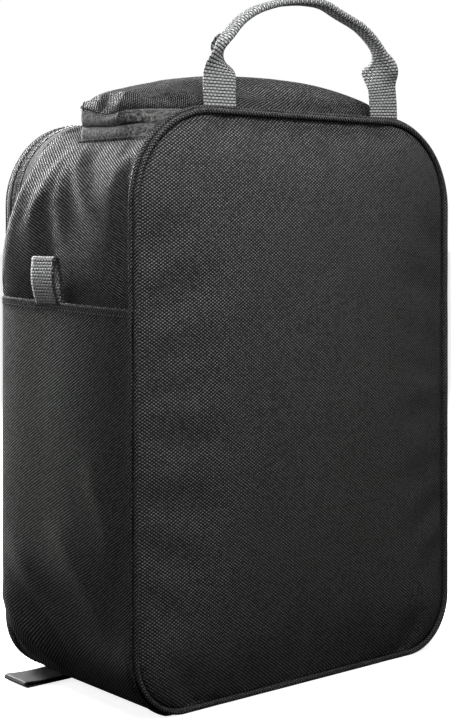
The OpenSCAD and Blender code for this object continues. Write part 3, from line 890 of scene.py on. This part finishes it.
def make_door_zip():
    """The door's rim, both halves of its zip and their seams, from one bottom corner round to the other."""
    door = Outline(0, DOOR_TOP, DOOR_R)
    start = CORNER_X + 0.5 * MM
    s = np.linspace(start, door.length - start, 300)
    at = door.at(s)
    wave = 0.25 * MM * ripple(s, 11, 29)
    rim_low = DOOR_LOW.y + 3.2 * MM
    tape_low, tape_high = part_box("door_zip_tape")
    body_low, body_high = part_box("body_zip_tape")
    zip_y = (tape_high.y + body_low.y) / 2
    half_gap = 1.7 * MM
    rim, tape = 0.05 * MM, -0.2 * MM
    for name, y_low, y_high, columns, material, lift, thickness, body, slot, node in (
            ("door_rim_cloth", rim_low, tape_low.y + 0.8 * MM, 5, "twill", rim, 0.9 * MM,
             "door", "gusset_twill", "door_rim"),
            ("door_tape_cloth", tape_low.y, zip_y - half_gap, 5, "tape", tape, TAPE,
             "door", "zip_tape", "door_zip_tape"),
            ("body_tape_cloth", zip_y + half_gap, body_high.y, 6, "tape", tape, TAPE,
             "body", "zip_tape", "body_zip_tape")):
        points = [off_outline(at, y, lift + wave * math.sin(math.pi * j / (columns - 1)))
                  for j, y in enumerate(np.linspace(y_low, y_high, columns))]
        finish_cloth(grid_piece(name, np.stack(points, axis=1), material), thickness, body, slot, node)
    for body, side, node in (("door", -1, "door_zip_coil"), ("body", 1, "body_zip_coil")):
        path = off_outline(at, zip_y + side * 0.95 * MM, -0.5 * MM)
        sewn(coil(body + "_coil_spring", path, outward(at)), body, "zip_coil", node)
    for name, body, y, lift in (("door_rim_stitches", "door", tape_low.y - 1.2 * MM, rim),
                                ("door_tape_stitches", "door", tape_low.y + 2.6 * MM, tape),
                                ("body_tape_stitches", "body", body_high.y - 1.4 * MM, tape)):
        sewn(stitches(name, off_outline(at, y, lift), outward(at)), body, "gusset_twill")


# ---------------------------------------------------------------- gussets, pockets and linings

def make_sides():
    for side, word in ((1, "right"), (-1, "left")):
        make_side_cloth(side, word)
        make_pocket(side, word)
    make_front_top()
    make_back_top()
    make_bottom()


def make_front_top():
    """The sloping top of the front compartment, slightly sunk."""
    xs = np.linspace(HALF_W - DOOR_R, DOOR_R - HALF_W, 60)
    ys = np.linspace(Y_SEAM, HOOD_Y, 14)
    x, y = np.meshgrid(xs, ys, indexing="ij")
    z = np.array([[slope_z(b) for b in ys]] * len(xs))
    sag = np.sin(math.pi * (y - Y_SEAM) / (HOOD_Y - Y_SEAM))
    z = z - sag * (1.5 * MM + 1.0 * MM * np.sin(x / (21 * MM)) * np.sin(x / (13 * MM) + y / (9 * MM)))
    top = grid_piece("front_top_cloth", np.stack([x, y, z], axis=-1), "twill", uv=np.stack([y, x], axis=-1))
    finish_cloth(top, FABRIC, "body", "gusset_twill", "front_top_strip")


def make_back_top():
    """The narrow strip between the hood and the back seam."""
    start = length_to_height(BACK, HOOD_Z)
    s = np.linspace(start, BACK.length - start, 240)
    at = BACK.at(s)
    columns = 6
    points = []
    for j, y in enumerate(np.linspace(Y_HINGE - 0.5 * MM, Y_RIDGE, columns)):
        swell = 0.5 * MM * math.sin(math.pi * j / (columns - 1)) * (1 + 0.4 * ripple(s, 6, 17))
        points.append(off_outline(at, y, -0.1 * MM + swell))
    strip = grid_piece("back_top_cloth", np.stack(points, axis=1), "twill")
    finish_cloth(strip, FABRIC, "body", "gusset_twill", "back_top_strip")


def make_bottom():
    xs = np.linspace(-CORNER_X, CORNER_X, 60)
    ys = np.linspace(Y_FRONT + 0.5 * MM, Y_RIDGE, 40)
    x, y = np.meshgrid(xs, ys, indexing="ij")
    z = 1.25 * MM + 0.25 * MM * np.sin(x / (24 * MM)) * np.sin(y / (15 * MM))
    bottom = grid_piece("bottom_cloth", np.stack([x, y, z], axis=-1), "twill", flip=True,
                        uv=np.stack([y, x], axis=-1))
    finish_cloth(bottom, 0.9 * MM, "body", "gusset_twill", "bottom_gusset")


def make_side_cloth(side, word):
    """One side, rolled forward over the front zip and tucked in behind its pocket."""
    columns_front, columns_main = 18, 22
    front_ys = Y_SEAM + (HOOD_Y - Y_SEAM) * np.linspace(0, 1, columns_front) ** 1.7
    ys = np.concatenate([front_ys, np.linspace(HOOD_Y, Y_RIDGE, columns_main)[1:]])
    rows_low, rows_top = 84, 16
    rows = rows_low + rows_top - 1
    points = np.zeros((rows, len(ys), 3))
    uv = np.zeros((rows, len(ys), 2))
    for j, y in enumerate(ys):
        outline = section(y)
        rim = length_to_height(outline, HOOD_Z)
        s = np.concatenate([np.linspace(CORNER_X, rim, rows_low),
                            np.linspace(rim, outline.ends[3], rows_top)[1:]])
        at = outline.at(s)
        depth = np.full(rows, y)
        push = side_bulge(depth, at[:, 1], side)
        push = push * (1 - smooth_step(s, rim - 4 * MM, rim))
        push = push * (1 - 0.5 * smooth_step(POCKET_HIGH.z - at[:, 1], 4 * MM, 30 * MM))
        push = push - 1.3 * MM * smooth_step(POCKET_HIGH.z + 9 * MM - at[:, 1], 0, 9 * MM)
        x, z = at[:, 0] + at[:, 2] * push, at[:, 1] + at[:, 3] * push
        if y <= HOOD_Y + 1e-9:
            blend = 0.3 + 5 * float(smooth_step(HOOD_Y - y, 0, 12 * MM))
            z = soft_min(z, np.full(rows, slope_z(y)), blend * MM)
        points[:, j] = np.stack([side * x, y - forward_roll(y, at[:, 1]), z], axis=1)
        uv[:, j] = np.stack([depth, s], axis=1)
    keep = np.ones((rows - 1, len(ys) - 1), bool)
    keep[rows_low - 1:, columns_front - 1:] = False
    cloth = grid_piece("side_cloth_" + word, points, "twill", flip=side < 0, keep=keep, uv=uv)
    tucked = [v.index for v in cloth.data.vertices if v.co.z < POCKET_HIGH.z + 3 * MM]
    drape(cloth, border(cloth) + tucked, slack=0.012, frames=18, pressure=0.6, bending=0.8, cap=4 * MM)
    finish_cloth(cloth, FABRIC, "body", "gusset_twill", "side_gusset_" + word)


def make_pocket(side, word):
    hem_s = CORNER_X + BOTTOM_R * math.pi / 2 + (POCKET_HIGH.z - BOTTOM_R)
    rows, columns = 84, 42
    lowest = 1.1 * MM
    ys = Y_SEAM + 0.4 * MM + (Y_RIDGE - Y_SEAM - 2 * MM) * np.linspace(0, 1, columns) ** 1.35
    points = np.zeros((rows, columns, 3))
    uv = np.zeros((rows, columns, 2))
    for j, y in enumerate(ys):
        hem_rise = 2 + 5 * (Y_RIDGE - y) / (Y_RIDGE - Y_SEAM)
        s = np.linspace(CORNER_X + 1 * MM, hem_s + hem_rise * MM, rows)
        at = section(y).at(s)
        depth = np.full(rows, y)
        push = side_bulge(depth, at[:, 1], side) + pocket_bulge(depth, at[:, 1], side)
        points[:, j] = np.stack([side * (at[:, 0] + at[:, 2] * push), y - forward_roll(y, at[:, 1]),
                                 np.maximum(at[:, 1] + at[:, 3] * push, lowest)], axis=1)
        uv[:, j] = np.stack([-depth, s], axis=1)
    pocket = grid_piece("pocket_cloth_" + word, points, "twill_pocket", flip=side < 0, uv=uv)
    thicken(pocket, FABRIC)
    sewn(pocket, "body", "gusset_twill", "side_pocket_" + word)
    edge = resample(points[-1], np.arange(columns), np.linspace(0, columns - 1, 120))
    declare_sheet(pocket, with_pieces=[make_hem(edge, side, word)])


# the hem's cross-section in millimetres: up, and out from the pocket
HEM = [(0.0, 0.35), (-2.6, 0.4), (-5.0, 0.2), (-5.3, -0.3), (-5.1, -1.1), (-2.6, -1.5), (-0.2, -1.3),
       (0.35, -0.45), (0.0, 0.35)]


def make_hem(edge, side, word):
    """The pocket's rolled edge, with two rows of stitches."""
    out = np.cross(tangents(edge), [0, 0, 1]) * side
    out /= np.linalg.norm(out, axis=1, keepdims=True)
    ring = np.array(HEM) * MM
    band = edge[:, None] + ring[None, :, 0:1] * np.array([0, 0, 1]) + ring[None, :, 1:2] * out[:, None]
    uv = uv_grid(run_along(ring), lengths(band, 0)[:, 0])
    hem = close_tube(grid_piece("pocket_hem_" + word, band, "twill", flip=side > 0, uv=uv))
    rounding = hem.modifiers.new("round", "SUBSURF")
    rounding.levels = rounding.render_levels = 1
    sewn(hem, "body", "gusset_twill")
    for k, drop in enumerate((0.9, 4.4)):
        path = edge + np.array([0, 0, -drop * MM]) + out * 0.4 * MM
        name = "pocket_stitches_%s_%d" % (word, k)
        row = stitches(name, path, out, length=2.2 * MM, gap=0.8 * MM, radius=0.3 * MM)
        sewn(row, "body", "gusset_twill")
    return hem


def both_bulges(y, z, s):
    """The side cloth's bulge at lengths that are negative on the left side, 0 along the bottom."""
    depth = np.full(len(s), y)
    push = np.where(s > 0, side_bulge(depth, z, 1), side_bulge(depth, z, -1))
    return push * (np.abs(s) > CORNER_X)


def make_linings():
    inset = 2.6 * MM
    outline = Outline(inset, TOP, TOP_R)
    reach = length_to_height(outline, HOOD_Z - 0.5 * MM)
    s = np.linspace(-reach, reach, 150)
    at = outline.at(s)
    points = []
    for y in np.linspace(Y_DIVIDER + 0.3 * MM, Y_BACK - 7.8 * MM, 24):
        push = both_bulges(y, at[:, 1], s) * (1 - smooth_step(np.abs(s), reach - 6 * MM, reach))
        points.append(off_outline(at, y, push))
    lining = grid_piece("main_lining_cloth", np.stack(points, axis=1), "lining", flip=True)
    finish_cloth(lining, LINING, "body", "lining", "gusset_lining", inward=False)

    outline = Outline(inset, DOOR_TOP, DOOR_R)
    s = np.linspace(-outline.length / 2, outline.length / 2, 220)
    at = outline.at(s)
    points = []
    for y in np.linspace(Y_SEAM + 0.3 * MM, Y_DIVIDER - 2.4 * MM, 16):
        row = off_outline(at, y, both_bulges(y, at[:, 1], s) * (at[:, 1] < HOOD_Z - 8 * MM))
        row[:, 2] = soft_min(row[:, 2], np.full(len(s), slope_z(y) - 5 * MM), 4 * MM)
        points.append(row)
    lining = grid_piece("front_lining_cloth", np.stack(points, axis=1), "lining", flip=True)
    finish_cloth(lining, LINING, "body", "lining", inward=False)

    wall = crowned_panel("divider_wall", Outline(3.4 * MM, DOOR_TOP, DOOR_R), Y_DIVIDER, 1,
                         0.1 * MM, 0.4 * MM, "lining", high=HOOD_Z - 3 * MM)
    thicken(wall, 1.8 * MM)
    sewn(wall, "body", "lining", "divider_panel")


# ---------------------------------------------------------------- hood

def arch_x(z):
    """Half the width of the back panel's arch at a height near its top."""
    drop = np.clip(z - (TOP - TOP_R), 0, TOP_R)
    return HALF_W - TOP_R + np.sqrt(np.maximum(TOP_R ** 2 - drop ** 2, 0))


PLAN_R = 4.5 * MM
HOOD_EDGE_Z = CROWN_Z - 1.2 * MM


def hood_morph(y):
    """0 where the hood is a box, 1 where it lies along the back panel's arch."""
    return smooth_step(y, 34 * MM, Y_HINGE)


def hood_path():
    """The hood's plan from its back right corner round the front to its back left: x, y and normal."""
    straight = HOOD_Y + PLAN_R
    right = [(HOOD_X, y, 1, 0) for y in np.linspace(Y_HINGE, straight, 60)]
    right += [(HOOD_X - PLAN_R + PLAN_R * math.cos(a), straight - PLAN_R * math.sin(a),
               math.cos(a), -math.sin(a)) for a in np.linspace(0, math.pi / 2, 9)[1:]]
    front = [(x, HOOD_Y, 0, -1) for x in np.linspace(HOOD_X - PLAN_R, PLAN_R - HOOD_X, 110)[1:-1]]
    left = [(-x, y, -nx, ny) for x, y, nx, ny in reversed(right)]
    return np.array(right + front + left)


def hood_wall_point(plan, z, push):
    """Points of the hood's wall at a height, following the arch near the back."""
    half = np.abs(plan[:, 0])
    x = half + hood_morph(plan[:, 1]) * (arch_x(z) - half) * (half > HOOD_X - PLAN_R - 1e-6)
    return np.stack([np.sign(plan[:, 0]) * x + plan[:, 2] * push, plan[:, 1] + plan[:, 3] * push,
                     np.broadcast_to(z, x.shape)], axis=1)


def edge_z(y):
    """Height of the crown's seam: high at the front corners, pulled down half way back."""
    return HOOD_EDGE_Z + (2.6 * bump_at(y, HOOD_Y, 13 * MM) - 3.0 * bump_at(y, 26 * MM, 14 * MM)) * MM


def make_hood():
    make_hood_zip()
    make_crown()


def make_hood_zip():
    """Both halves of the hood's zip and their seams, round its wall."""
    plan = hood_path()
    run = run_along(plan[:, :2])
    total = run[-1]
    ends = smooth_step(run, 0, 12 * MM) * (1 - smooth_step(run, total - 12 * MM, total))
    sway = (0.7 * np.sin(run / (17 * MM) + 1.0) + 0.5 * np.sin(run / (7.3 * MM) + 2.0)) * MM
    seam = edge_z(plan[:, 1])
    line = ZIP_Z + 0.45 * sway * ends + 0.35 * (seam - HOOD_EDGE_Z)
    bow = 1.1 * MM * (1 + np.sin(run / (23 * MM) + 0.7)) * ends
    rows = 7
    base = np.full(len(run), HOOD_Z - 0.5 * MM)
    for word, z_low, z_high, swell, body in (("lower", base, line - 0.35 * MM, 0.7, "body"),
                                             ("upper", line + 0.35 * MM, seam, 0.8, "hood")):
        points = np.zeros((rows, len(run), 3))
        for i in range(rows):
            t = i / (rows - 1)
            toward_zip = t if word == "lower" else 1 - t
            push = 0.2 * MM + bow * math.sin(math.pi * t) * swell - 0.5 * MM * toward_zip ** 4
            points[i] = hood_wall_point(plan, z_low + (z_high - z_low) * t, push)
        uv = uv_grid(run, np.linspace(0, 9 * MM, rows))[..., ::-1]
        tape = grid_piece("hood_%s_tape_cloth" % word, points, "tape", flip=True, uv=uv)
        finish_cloth(tape, TAPE, body, "zip_tape", "hood_%s_tape" % word)
    normal = np.stack([plan[:, 2], plan[:, 3], np.zeros(len(run))], axis=1)
    for body, lift, node in (("body", -0.85, "hood_lower_coil"), ("hood", 0.85, "hood_upper_coil")):
        path = hood_wall_point(plan, line + lift * MM, np.full(len(run), -1.5 * MM))
        sewn(coil(body + "_hood_spring", path, normal), body, "zip_coil", node)
    for name, body, z in (("hood_base_stitches", "body", HOOD_Z + 1.3 * MM),
                          ("hood_edge_stitches", "hood", seam - 1.4 * MM)):
        path = hood_wall_point(plan, z + np.zeros(len(run)), 0.3 * MM + bow * 0.3)
        sewn(stitches(name, path, normal), body, "gusset_twill")


# folds in the crown: from x, y to x, y, then width and depth
CROWN_FOLDS = [((126, 16), (88, 32), 7.0, 1.3), ((112, 50), (76, 26), 6.0, 1.4),
               ((100, 2), (80, 22), 4.0, 1.2), ((-116, 6), (-86, 26), 4.0, 1.6),
               ((-40, 55), (-10, 30), 6.0, 1.0)]


def make_crown():
    """The hood's puffed top and its lining."""
    columns = 96
    low = HOOD_Y
    corner = low + PLAN_R * (1 - np.cos(np.linspace(0, math.pi / 2, 10)))
    depth = np.concatenate([corner, np.linspace(low + PLAN_R, Y_HINGE, 31)[1:]])
    across = (np.sin(np.linspace(-math.pi / 2, math.pi / 2, columns)) * 0.35
              + np.linspace(-1, 1, columns) * 0.65)
    a, y = np.meshgrid(across, depth)
    inner = np.clip(low + PLAN_R - y, 0, PLAN_R)
    half = HOOD_X - PLAN_R + np.sqrt(np.maximum(PLAN_R ** 2 - inner ** 2, 0))
    half = half + hood_morph(y) * (arch_x(HOOD_EDGE_Z) - half)
    x = a * half
    d = np.maximum(np.minimum(np.minimum(half - np.abs(x), y - low), (Y_HINGE - y) * 1.2), 0)
    edge = np.sqrt(np.maximum(1 - (1 - np.clip(d / (8 * MM), 0, 1)) ** 2, 0))
    wide = np.sin(np.clip((half - np.abs(x)) / (88 * MM), 0, 1) * math.pi / 2)
    deep = np.sin(np.clip((y - low + 2 * MM) / (Y_HINGE - low), 0, 1) ** 0.8 * math.pi) ** 0.85
    z = edge_z(y) * (1 - edge) + HOOD_EDGE_Z * edge + 8.5 * MM * edge + 14.5 * MM * wide * deep * edge
    z += 0.7 * MM * np.sin(x / (19 * MM) + y / (15 * MM)) * edge
    for fold in CROWN_FOLDS:
        z -= ridge(x, y, *fold, rise=(-0.15, 0.15), fall=(0.6, 1.1)) * edge
    lap = 1.0 * MM * (1 - edge)
    x_out = x + np.sign(x) * lap * (np.abs(a) > 0.98)
    y_out = y - lap * (y < low + PLAN_R)
    points = np.stack([x_out, y_out, z], axis=-1)
    run_x, run_y = lengths(points, 1), lengths(points, 0)
    uv = np.stack([run_x[:, columns // 2][:, None] - run_x, run_y], axis=-1)
    crown = grid_piece("hood_crown", points, "twill", uv=uv)
    drape(crown, border(crown), slack=0.02, frames=20, pressure=1.0, bending=0.8, cap=4 * MM)
    thicken(crown, 3.2 * MM)
    sewn(crown, "hood", "gusset_twill", "hood_shell", "hood_foam")
    below = np.stack([x * 0.965, low + 3 * MM + (y - low) * 0.92, z - 4.6 * MM], axis=-1)
    under = grid_piece("hood_lining_cloth", below[::2, ::2], "lining")
    finish_cloth(under, LINING, "hood", "lining", "hood_lining")


# ---------------------------------------------------------------- webbing

def loop_section(width, fold, count):
    """Cross-section of webbing between flat (0) and folded lengthwise into a flat tube (1)."""
    gap = 0.6 * MM
    r = 1.8 * MM
    s = np.linspace(-width / 2, width / 2, count * 8 + 1)
    half = (width - gap - TAU * r) / 4
    turn = np.sign(s) * np.clip((np.abs(s) - half) / (math.pi * r), 0, 1) * math.pi * fold
    step = np.diff(s, prepend=s[0])
    x = np.cumsum(np.cos(turn) * step)
    z = np.cumsum(-np.abs(np.sin(turn)) * np.sign(s) * step)
    middle = len(s) // 2
    pick = np.linspace(0, len(s) - 1, count).astype(int)
    return np.stack([x - x[middle], z - z[middle]], axis=1)[pick]


def smooth_line(points, step, window):
    """A line through points, resampled evenly and rounded off."""
    run = run_along(points)
    line = resample(points, run, np.linspace(0, run[-1], int(run[-1] / step)))
    half = int(window / step / 2)
    for _ in range(3):
        padded = np.concatenate([2 * line[0] - line[half:0:-1], line, 2 * line[-1] - line[-2:-half - 2:-1]])
        total = np.cumsum(np.concatenate([np.zeros((1, line.shape[1])), padded]), axis=0)
        line = (total[2 * half + 1:] - total[:-2 * half - 1]) / (2 * half + 1)
    return line


def make_handle():
    """Flat webbing legs that twist and fold lengthwise into the grip."""
    low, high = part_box("carry_handle")
    y = (low.y + high.y) / 2
    foot, crest = low.z, high.z - 1.6 * MM
    leg = 71 * MM
    lean = -4.5 * MM
    shape = [(leg, foot - 3 * MM), (leg + 0.3 * MM, foot + 26 * MM), (leg - 3.5 * MM, foot + 38 * MM),
             (leg - 16 * MM, crest - 17 * MM), (leg - 29 * MM, crest - 9 * MM),
             (leg - 48 * MM, crest - 3 * MM), (4 * MM, crest), (-16 * MM, crest),
             (46 * MM - leg, crest - 4.5 * MM), (23 * MM - leg, crest - 12 * MM),
             (9 * MM - leg, crest - 22 * MM), (4 * MM - leg, foot + 40 * MM),
             (3.5 * MM - leg, foot + 30 * MM), (1 * MM - leg, foot + 16 * MM), (-leg, foot - 3 * MM)]
    line = smooth_line(np.array(shape) + np.array([lean, 0]), 0.9 * MM, 9 * MM)
    path = np.stack([line[:, 0], np.full(len(line), y), line[:, 1]], axis=1)
    tangent = tangents(path)
    run = run_along(path)
    from_end = np.minimum(run, run[-1] - run)
    fold = smooth_step(from_end, 30 * MM, 52 * MM)
    twist = smooth_step(from_end, 22 * MM, 50 * MM) * math.pi / 2
    count = 29
    points = np.zeros((len(path), count, 3))
    y_axis = np.array([0, 1, 0])
    for k in range(len(path)):
        in_plane = np.cross(y_axis, tangent[k])
        across = in_plane * math.cos(twist[k]) + y_axis * math.sin(twist[k])
        up = np.cross(tangent[k], across)
        cross_section = loop_section(WEBBING_W, float(fold[k]), count)
        points[k] = path[k] + cross_section[:, 0:1] * across + cross_section[:, 1:2] * up
    uv = uv_grid(np.linspace(0, WEBBING_W, count), run)
    webbing = grid_piece("handle_webbing", points, "webbing", uv=uv)
    thicken(webbing, WEBBING)
    webbing.modifiers["thickness"].offset = 0
    webbing.modifiers["thickness"].use_even_offset = False
    declare_sheet(webbing)
    rooted(webbing, "carry_handle")


def webbing_strip(name, line, y, side, material, thickness):
    """Webbing that lies across Y, along a line in XZ on one side of the bag."""
    path = np.stack([side * line[:, 0], np.full(len(line), y), line[:, 1]], axis=1)
    across = np.linspace(-WEBBING_W / 2, WEBBING_W / 2, 13)
    points = path[:, None] + across[None, :, None] * np.array([0, 1, 0])
    piece = grid_piece(name, points, material, uv=uv_grid(across, run_along(path)))
    thicken(piece, thickness)
    piece.modifiers["thickness"].offset = 0
    declare_sheet(piece)
    return piece


def make_loops():
    for side, word in ((1, "right"), (-1, "left")):
        make_side_loop(side, word)
        make_zip_end(side, word)


def make_side_loop(side, word):
    """A folded loop that stands up from behind the pocket's hem."""
    low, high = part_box("side_loop_" + word)
    y = (low.y + high.y) / 2
    start, top = low.z + 1 * MM, high.z + 3 * MM
    half, bend_r = 1.5 * MM, 2.2 * MM
    base = HALF_W + 2.8 * MM + float(side_bulge(np.array([y]), np.array([start]), side)[0])
    t = np.linspace(0, 1, 16)
    rise = start + (top - bend_r - start) * t
    outer = np.stack([base + half * (1 + 1.4 * np.sin(math.pi * t)), rise], axis=1)
    bend = np.linspace(0, math.pi, 9)[1:-1]
    over = np.stack([base + half * np.cos(bend) * 1.1, top - bend_r + bend_r * np.sin(bend)], axis=1)
    inner = np.stack([base - half * (1 + 0.5 * np.sin(math.pi * t)), rise], axis=1)[::-1]
    line = np.concatenate([outer, over, inner])
    line[:, 0] += 0.12 * (line[:, 1] - start)
    # the loop wears the darker copy of the grey webbing, which is painted shade
    loop = webbing_strip("side_loop_webbing_" + word, line, y, side, "webbing_loop_painted_shade", WEBBING)
    rooted(loop, "side_loop_" + word)


def make_zip_end(side, word):
    """The folded tab that lies on the ground where the door's zip ends."""
    low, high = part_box("zip_end_tab_" + word)
    y = (low.y + high.y) / 2
    root, reach = sorted((abs(low.x), abs(high.x)))
    nose_x = reach - 1.6 * MM
    t = np.linspace(0, 1, 18)
    over_x = root + (nose_x - root) * t
    top_run = np.stack([over_x, 2.5 * MM + 0.9 * MM * t ** 3 - 0.3 * MM * np.sin(math.pi * t)], axis=1)
    bend = np.linspace(math.pi / 2, -math.pi / 2, 9)[1:-1]
    nose = np.stack([nose_x + 1.6 * MM * np.cos(bend), 2.1 * MM + 1.3 * MM * np.sin(bend)], axis=1)
    under = np.stack([over_x, np.full(len(t), 0.75 * MM)], axis=1)[::-1]
    line = np.concatenate([top_run, nose, under])
    tab = webbing_strip("zip_end_webbing_" + word, line, y, side, "webbing_black", 1.0 * MM)
    sewn(tab, "tab_" + word, "webbing_black", "zip_end_tab_" + word)


# ---------------------------------------------------------------- sliders

def plate(name, profile, thickness, bevel, material):
    """A flat moulded plate from its outline in XY, with rounded edges."""
    edit = bmesh.new()
    ring = [edit.verts.new((x, y, 0)) for x, y in profile]
    face = edit.faces.new(ring)
    grown = bmesh.ops.extrude_face_region(edit, geom=[face])
    for v in grown["geom"]:
        if isinstance(v, bmesh.types.BMVert):
            v.co.z += thickness
    bmesh.ops.recalc_face_normals(edit, faces=edit.faces)
    mesh = bpy.data.meshes.new(name)
    edit.to_mesh(mesh)
    edit.free()
    piece = add_object(name, mesh, material)
    modifier = piece.modifiers.new("edges", "BEVEL")
    modifier.width = bevel
    modifier.segments = 3
    modifier.limit_method = "ANGLE"
    return piece


def joined(name, pieces):
    """One mesh from several, each with its modifiers applied."""
    edit = bmesh.new()
    for piece in pieces:
        settle(piece)
        edit.from_mesh(piece.data)
    material = pieces[0].data.materials[0].name
    for piece in pieces:
        bpy.data.objects.remove(piece)
    mesh = bpy.data.meshes.new(name)
    edit.to_mesh(mesh)
    edit.free()
    return add_object(name, mesh, material)


def slider_shape(name, long, wide):
    """A slider at the origin: a Y-shaped body in two plates, with a bridge for the pull's pin."""
    a, b = long / 2, wide / 2
    side = [(-a, -b * 0.62), (-a * 0.6, -b * 0.7), (a * 0.2, -b), (a * 0.8, -b), (a, -b * 0.72),
            (a * 0.86, -b * 0.3)]
    profile = side + [(x, -y) for x, y in reversed(side)]
    lower = plate(name + "_a", profile, 0.6 * MM, 0.2 * MM, "enamel")
    upper = plate(name + "_b", profile, 0.6 * MM, 0.2 * MM, "enamel")
    upper.data.transform(Matrix.Translation((0, 0, 0.85 * MM)))
    t = np.linspace(0, math.pi, 21)
    arch = np.stack([a * 0.75 * np.cos(t), np.zeros(21), 1.3 * MM + 2.3 * MM * np.sin(t) ** 0.5], axis=1)
    bridge = tube(name + "_c", arch, 0.6 * MM, "enamel", (0, 1, 0), sides=10)
    return joined(name, [lower, upper, bridge])


def pull_shape(name, long, wide, thick):
    """A moulded pull lying towards +Y from its eye, with a ribbed grip."""
    neck, r = wide * 0.36, wide / 2
    side = [(neck, 1.3 * MM), (neck, long * 0.2), (r, long * 0.34), (r, long - r)]
    tip = [(r * math.cos(a), long - r + r * math.sin(a)) for a in np.linspace(0, math.pi, 14)[1:-1]]
    profile = side + tip + [(-x, y) for x, y in reversed(side)]
    tab = plate(name + "_a", profile, thick, 0.35 * MM, "pull")
    tab.data.transform(Matrix.Translation((0, 0, -thick / 2)))
    parts = [tab]
    for k in range(5):
        y = long * 0.45 + k * 1.5 * MM
        line = [(-wide * 0.34, y, thick / 2), (0, y, thick / 2 + 0.05 * MM), (wide * 0.34, y, thick / 2)]
        parts.append(tube(name + "_r%d" % k, line, 0.35 * MM, "pull", (0, 0, 1), sides=8))
    t = np.linspace(0, TAU, 20, endpoint=False)
    eye = np.stack([np.zeros(20), 1.35 * MM * np.cos(t), 1.35 * MM * np.sin(t)], axis=1)
    parts.append(tube(name + "_e", eye, 0.45 * MM, "pull", (1, 0, 0), sides=8, closed=True))
    return joined(name, parts)


def make_slider(zip_name, word, long, wide, place, turn, pin, pull_angle):
    """A slider and its pull, which stands on the slider's pin."""
    body = slider_shape("%s_slider_body_%s" % (zip_name, word), long, wide)
    body.matrix_world = Matrix.Translation(place) @ Matrix.Rotation(turn, 4, "X")
    node = "%s_slider_%s" % (zip_name, word)
    sewn(body, node, "slider_metal", node)
    pull = pull_shape("%s_pull_tab_%s" % (zip_name, word), 17 * MM, 6 * MM, 1.6 * MM)
    pull.matrix_world = Matrix.Translation(pin) @ Matrix.Rotation(math.radians(pull_angle), 4, "X")
    node = "%s_pull_%s" % (zip_name, word)
    sewn(pull, node, "pull_plastic", node)


def make_sliders():
    pin_height = 3.6 * MM
    for word in ("left", "right"):
        low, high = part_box("hood_slider_" + word)
        place = Vector(((low.x + high.x) / 2, high.y, (low.z + high.z) / 2))
        pin = place - Vector((0, pin_height, 0))
        make_slider("hood", word, high.x - low.x, high.z - low.z, place, math.pi / 2, pin, 158)
        low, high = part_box("door_slider_" + word)
        place = Vector(((low.x + high.x) / 2, (low.y + high.y) / 2, low.z))
        pin = place + Vector((0, 0, pin_height))
        make_slider("door", word, high.x - low.x, high.y - low.y, place, 0, pin, -8)


make_camera()
make_stage()
make_back()
make_door()
make_sides()
make_linings()
make_hood()
make_handle()
make_loops()
make_sliders()
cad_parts["base_board"].data.materials.clear()
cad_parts["base_board"].data.materials.append(M["board"])
